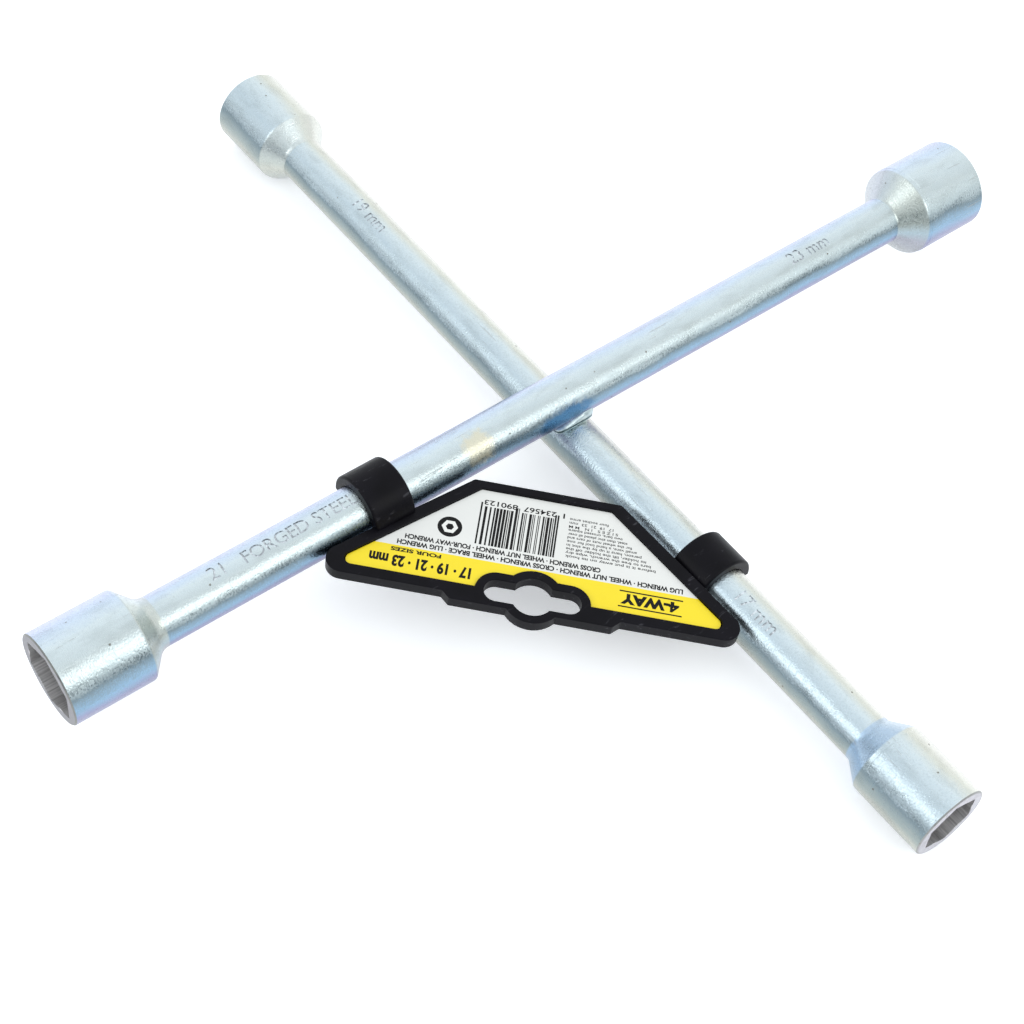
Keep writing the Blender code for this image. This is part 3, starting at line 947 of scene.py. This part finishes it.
def make_plate(material):
    """Plate with its rim, recess and slot, drawn flat, softened, then laid in place."""
    plate = new_piece("hanger_moulding", prism(plate_outline(), -PLATE_THICKNESS, 0),
                      [material])
    recess = new_piece("recess", prism(label_outline(0), -RECESS_DEPTH, CUT_MARGIN), [])
    collar = new_piece("collar", prism(slot_outline(SLOT_COLLAR), -CUT_MARGIN, 2 * CUT_MARGIN),
                       [])
    combine(recess, [collar])
    slot = new_piece("slot", prism(slot_outline(0), -2 * CUT_MARGIN, CUT_MARGIN), [])
    combine(plate, [recess, slot])

    bm = bmesh.new()
    bm.from_mesh(plate.data)
    bmesh.ops.dissolve_limit(bm, angle_limit=math.radians(1), verts=bm.verts, edges=bm.edges)
    for height, softness in ((0, RIM_SOFTNESS), (-PLATE_THICKNESS, EDGE_SOFTNESS)):
        level = [edge for edge in bm.edges
                 if all(abs(vert.co.z - height) < FLAT_TOLERANCE for vert in edge.verts)
                 and len(edge.link_faces) == 2 and edge.calc_face_angle() > math.radians(40)]
        soften(bm, level, softness)
    bmesh.ops.transform(bm, matrix=PLATE_PLACE, verts=bm.verts)
    bm.to_mesh(plate.data)
    bm.free()
    return plate


def make_hanger():
    """Plate and both clips in one moulding."""
    plastic = hanger_plastic()
    hanger = make_plate(plastic)
    arms = ((UPPER_AXIS - Vector((CLIP_CENTRE, 0, 0)), 0),
            (LOWER_AXIS - Vector((0, CLIP_CENTRE, 0)), math.pi / 2))
    places = [Matrix.Translation(spot) @ Matrix.Rotation(turn, 4, "Z") for spot, turn in arms]
    clips = [new_piece("clip", arch(CLIP_OUTER_RADIUS, CLIP_SKIRT, CLIP_WIDTH, CLIP_SOFTNESS),
                       [plastic], place) for place in places]
    rooms = [new_piece("bar_room", arch(CLIP_INNER_RADIUS, 3 * BAR_RADIUS, 2 * CLIP_CENTRE),
                       [plastic], place) for place in places]
    combine(hanger, clips, "UNION")
    combine(hanger, rooms)
    smooth_shading(hanger, HANGER_SHARP_ANGLE)
    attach(hanger, "hanger")
    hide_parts("hanger")


# -------- label and print

BAND_EDGE = 66.5 * MM          # yellow outwards of this line, white inwards
PRINT_THICKNESS = 0.02 * MM


def on_label(across, outwards, raised=0.0):
    """Place on the label's face whose +X reads across it and whose +Y points outwards."""
    spot = Matrix.Translation((across, -outwards, LABEL_FACE + PRINT_THICKNESS / 2 + raised))
    return PLATE_PLACE @ spot @ Matrix.Rotation(math.pi, 4, "Z")


def make_card():
    """The label's card, printed white with a yellow band along its long edge."""
    white = card_surface("label_white", (0.80, 0.80, 0.765), (0.75, 0.75, 0.72))
    yellow = card_surface("label_yellow", (0.93, 0.73, 0.008), (0.89, 0.67, 0.006))
    floor = LABEL_FACE - LABEL_THICKNESS
    card = new_piece("label_card", prism(label_outline(LABEL_GAP), floor, LABEL_FACE),
                     [white, yellow])
    collar = new_piece("collar_room", prism(slot_outline(SLOT_COLLAR + LABEL_GAP),
                                            -CUT_MARGIN, CUT_MARGIN), [])
    combine(card, [collar])
    bm = bmesh.new()
    bm.from_mesh(card.data)
    bmesh.ops.bisect_plane(bm, geom=bm.verts[:] + bm.edges[:] + bm.faces[:],
                           plane_co=(0, -BAND_EDGE, 0), plane_no=(0, 1, 0), dist=SAME_POINT)
    for face in bm.faces:
        face.material_index = 1 if face.calc_center_median().y < -BAND_EDGE else 0
    bmesh.ops.transform(bm, matrix=PLATE_PLACE, verts=bm.verts)
    bm.to_mesh(card.data)
    bm.free()
    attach(card, "hanger")
    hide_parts("label")


def block(width, height):
    """A thin printed rectangle from its lower left corner."""
    bm = bmesh.new()
    place = (Matrix.Translation((width / 2, height / 2, 0))
             @ Matrix.Diagonal((width, height, PRINT_THICKNESS, 1)))
    bmesh.ops.create_cube(bm, size=1, matrix=place)
    return bm


def flat_ring(outer, inner, sides, turn=0.0):
    """A thin printed ring, or a disc when it has no hole."""
    bm = bmesh.new()
    made = bmesh.ops.create_circle(bm, cap_ends=inner == 0, radius=outer, segments=sides,
                                   matrix=Matrix.Rotation(turn, 4, "Z"))
    if inner:
        hole = bmesh.ops.create_circle(bm, cap_ends=False, radius=inner, segments=sides,
                                       matrix=Matrix.Rotation(turn, 4, "Z"))
        rims = {edge for vert in made["verts"] + hole["verts"] for edge in vert.link_edges}
        bmesh.ops.bridge_loops(bm, edges=list(rims))
    grown = bmesh.ops.extrude_face_region(bm, geom=bm.faces[:])
    top = [part for part in grown["geom"] if isinstance(part, bmesh.types.BMVert)]
    bmesh.ops.translate(bm, verts=top, vec=(0, 0, PRINT_THICKNESS / 2))
    lower = [vert for vert in bm.verts if vert not in set(top)]
    bmesh.ops.translate(bm, verts=lower, vec=(0, 0, -PRINT_THICKNESS / 2))
    return bm


def print_piece(name, bm, ink):
    piece = new_piece(name, bm, [ink])
    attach(piece, "hanger")


def fit_line(text, width, cap_height, weight=0.0):
    """One line of lettering, squeezed or stretched to a width."""
    bm = lettering(text, cap_height, PRINT_THICKNESS, weight)
    left = min(vert.co.x for vert in bm.verts)
    right = max(vert.co.x for vert in bm.verts)
    bmesh.ops.translate(bm, verts=bm.verts, vec=(-left, 0, 0))
    bmesh.ops.scale(bm, verts=bm.verts, vec=(width / (right - left), 1, 1))
    return bm


# Lines of capitals on the label: text, where the line starts and ends across the label,
# its foot outwards from the crossing, capital height and boldness, all in millimetres
CAPITALS = [
    ("17 · 19 · 21 · 23 mm", -19.0, -49.2, 70.3, 3.6, 0.24),
    ("FOUR SIZES", -28.4, -43.4, 67.3, 1.25, 0.07),
    ("LUG WRENCH · WHEEL NUT WRENCH · CROSS WRENCH · WHEEL BRACE · LUG WRENCH",
     43.7, -42.0, 64.2, 1.6, 0.09),
    ("CROSS WRENCH · WHEEL NUT WRENCH · FOUR-WAY WRENCH",
     18.7, -40.0, 61.8, 1.6, 0.09),
]
EMBLEM = ("4-WAY", 43.0, 25.6, 69.4, 3.3, 0.26)
RULES = ((44, 68.1), (44, 73.6))    # under and over the emblem, in millimetres
RULE_SIZE = (19 * MM, 0.45 * MM)


def make_capitals(ink):
    bm = bmesh.new()
    for text, start, end, foot, cap, weight in CAPITALS + [EMBLEM]:
        line = fit_line(text, abs(end - start) * MM, cap * MM, weight * MM)
        add_to(bm, line, on_label(start * MM, foot * MM))
    for start, foot in RULES:
        add_to(bm, block(*RULE_SIZE), on_label(start * MM, foot * MM))
    print_piece("label_capitals", bm, ink)


CODE_START = 4.4 * MM
CODE_MODULES = 95
CODE_MODULE = 24.4 * MM / CODE_MODULES
CODE_TOP = 60.9 * MM
STRIPE_FOOT = 46.6 * MM
GUARD_FOOT = 45.2 * MM
# Digits under the bar code, where they start and end across the label, in millimetres
CODE_DIGITS = (("1", 6.0, 5.5), ("234567", 3.4, -6.6), ("890123", -8.4, -18.6))
DIGIT_FOOT = 44.2 * MM
DIGIT_CAP = 1.8 * MM
DIGIT_WEIGHT = 0.04 * MM


def make_bar_code(ink):
    """Stripes of 1 to 3 modules, with guard stripes that reach down between the digits."""
    bm = bmesh.new()
    draw = random.Random(7)
    position = 0
    while position < CODE_MODULES - 1:
        wide = draw.choice((1, 1, 2, 2, 3))
        gap = draw.choice((1, 1, 2, 3))
        wide = min(wide, CODE_MODULES - position)
        is_guard = position < 4 or 44 < position < 50 or position > 90
        foot = GUARD_FOOT if is_guard else STRIPE_FOOT
        add_to(bm, block(wide * CODE_MODULE, CODE_TOP - foot),
               on_label(CODE_START - position * CODE_MODULE, foot))
        position += wide + gap
    for digits, left, right in CODE_DIGITS:
        add_to(bm, fit_line(digits, (left - right) * MM, DIGIT_CAP, DIGIT_WEIGHT),
               on_label(left * MM, DIGIT_FOOT))
    print_piece("label_bar_code", bm, ink)


# Small print, in millimetres: where its lines end, where the innermost one starts, how much
# further across each next one starts, and the lines' feet
PRINT_END = 7.6
PRINT_START = 19.5
PRINT_SLANT = 1.55
PRINT_FOOT = 45.3
PRINT_PITCH = 1.38
PRINT_CAP = 0.95
PRINT_WEIGHT = 0.02
SMALL_PRINT = [
    "four socket arms",
    "17  19  21  23  mm",
    "S I Z E S   I N   M M",
    "two bars, crossed square",
    "steel, then zinc plated all over",
    "for the wheel nuts of cars and",
    "small vans, a hand tool for one",
    "person, hang it up by the slot in",
    "its holder, lift the holder off the",
    "bars to free the wrench, wipe dry",
    "before it is put away on its hook",
]


def make_small_print(ink):
    """Small print between an upright margin and one that slants with the label's side."""
    bm = bmesh.new()
    for row, text in enumerate(SMALL_PRINT):
        start = PRINT_START + PRINT_SLANT * row
        foot = PRINT_FOOT + PRINT_PITCH * row
        line = fit_line(text, (start - PRINT_END) * MM, PRINT_CAP * MM, PRINT_WEIGHT * MM)
        add_to(bm, line, on_label(start * MM, foot * MM))
    print_piece("label_small_print", bm, ink)


PICTOGRAM_CENTRE = (-27.5 * MM, 56.5 * MM)
PICTOGRAM_RADIUS = 3.7 * MM
NUT_RADIUS = 2.5 * MM
NUT_HOLE = 1.25 * MM


def make_pictogram(ink, white_ink):
    """White hexagon nut on a black disc."""
    disc = bmesh.new()
    add_to(disc, flat_ring(PICTOGRAM_RADIUS, 0, 48), on_label(*PICTOGRAM_CENTRE))
    print_piece("label_pictogram", disc, ink)
    nut = bmesh.new()
    add_to(nut, flat_ring(NUT_RADIUS, NUT_HOLE, 6, math.radians(30)),
           on_label(*PICTOGRAM_CENTRE, raised=PRINT_THICKNESS))
    print_piece("label_pictogram_nut", nut, white_ink)


def make_label():
    make_card()
    black = ink_surface("black_ink", (0.004, 0.004, 0.004))
    grey = ink_surface("grey_ink", (0.05, 0.05, 0.05))
    white = ink_surface("white_ink", (0.84, 0.84, 0.80))
    make_capitals(black)
    make_bar_code(black)
    make_small_print(grey)
    make_pictogram(black, white)


# -------- floor, light and camera

CAMERA_AIM = Vector((-37.7, -23.3, 0)) * MM    # from the crossing
CAMERA_HEADING = 42.574                        # degrees from +Y towards +X
CAMERA_DOWN = 52.781                           # degrees below level
CAMERA_ROLL = 6.254                            # degrees
CAMERA_DISTANCE = 586.0 * MM
CAMERA_LENS = 67.83                            # millimetres on a 36 mm sensor


def make_camera():
    heading = math.radians(CAMERA_HEADING)
    down = math.radians(CAMERA_DOWN)
    look = Vector((math.sin(heading) * math.cos(down), math.cos(heading) * math.cos(down),
                   -math.sin(down)))
    lens = bpy.data.cameras.new("camera")
    lens.lens = CAMERA_LENS
    lens.sensor_width = 36
    lens.clip_start = 0.01
    lens.dof.use_dof = False
    camera = bpy.data.objects.new("camera", lens)
    bpy.context.scene.collection.objects.link(camera)
    turn = look.to_track_quat("-Z", "Y").to_matrix().to_4x4()
    camera.matrix_world = (Matrix.Translation(CROSSING + CAMERA_AIM - look * CAMERA_DISTANCE)
                           @ turn @ Matrix.Rotation(math.radians(CAMERA_ROLL), 4, "Z"))
    bpy.context.scene.camera = camera


FLOOR_HALF = 30
FLOOR_GLOW = 0.35              # lifts the floor's shade


def make_floor():
    bm = bmesh.new()
    bmesh.ops.create_grid(bm, x_segments=1, y_segments=1, size=FLOOR_HALF)
    finish = Finish("studio_floor")
    point = finish.place()
    cloud = finish.noise(point, 0.4, detail=2.0)
    finish.set("Base Color", finish.blend(cloud, (0.93, 0.935, 0.94), (0.95, 0.95, 0.95)))
    finish.set("Roughness", 0.7)
    finish.set("Emission Color", (0.96, 0.98, 1.0))
    finish.set("Emission Strength", FLOOR_GLOW)
    floor = new_piece("studio_floor", bm, [finish.material])


SOFTBOX_SIDE = 0.75
SOFTBOX_DISTANCE = 1.4


def make_softbox(name, direction, power, colour):
    """Square soft light that faces the crossing from a direction."""
    lamp = bpy.data.lights.new(name, "AREA")
    lamp.shape = "RECTANGLE"
    lamp.size = SOFTBOX_SIDE
    lamp.size_y = SOFTBOX_SIDE
    lamp.energy = power
    lamp.color = colour
    light = bpy.data.objects.new(name, lamp)
    bpy.context.scene.collection.objects.link(light)
    away = Vector(direction).normalized()
    turn = (-away).to_track_quat("-Z", "Y").to_matrix().to_4x4()
    light.matrix_world = Matrix.Translation(CROSSING + away * SOFTBOX_DISTANCE) @ turn


# World brightness by height of the direction, from level (0) to overhead (1)
ROOM_BEHIND = [
    (0.0, (0.95, 0.98, 1.0)),
    (0.5, (1.0, 1.03, 1.06)),
    (1.0, (1.0, 1.05, 1.10)),
]
ROOM_BY_VIEWER = [
    (0.0, (0.08, 0.10, 0.12)),
    (0.12, (0.10, 0.13, 0.15)),
    (0.30, (0.62, 0.66, 0.68)),
    (0.50, (0.95, 0.98, 1.0)),
    (1.0, (1.0, 1.05, 1.10)),
]


def make_studio():
    """Bright room, dark near the floor on the viewer's side, with a softbox at each hand."""
    world = bpy.data.worlds.new("studio")
    world.use_nodes = True
    bpy.context.scene.world = world
    room = Nodes(world.node_tree)
    direction = room.node("ShaderNodeTexCoord", {}, {}, "Generated")
    x, y, z = room.parts(direction)
    by_viewer = room.smooth(x + y, -0.30, 0.10, 1.0, 0.0)
    colour = room.blend(by_viewer, room.ramp(z, ROOM_BEHIND), room.ramp(z, ROOM_BY_VIEWER))
    room.join(colour, room.tree.nodes["Background"].inputs["Color"])
    make_softbox("softbox_right", (0.24, -0.97, 0.72), 2.7, (1.0, 1.0, 0.98))
    make_softbox("softbox_left", (-0.97, 0.22, 0.72), 2.25, (0.98, 1.0, 1.0))
    bpy.context.scene.view_settings.view_transform = "Standard"


# -------- everything

make_camera()
make_bars()
for socket_name in SOCKETS:
    make_socket(socket_name)
make_weld()
make_hanger()
make_label()
make_floor()
make_studio()
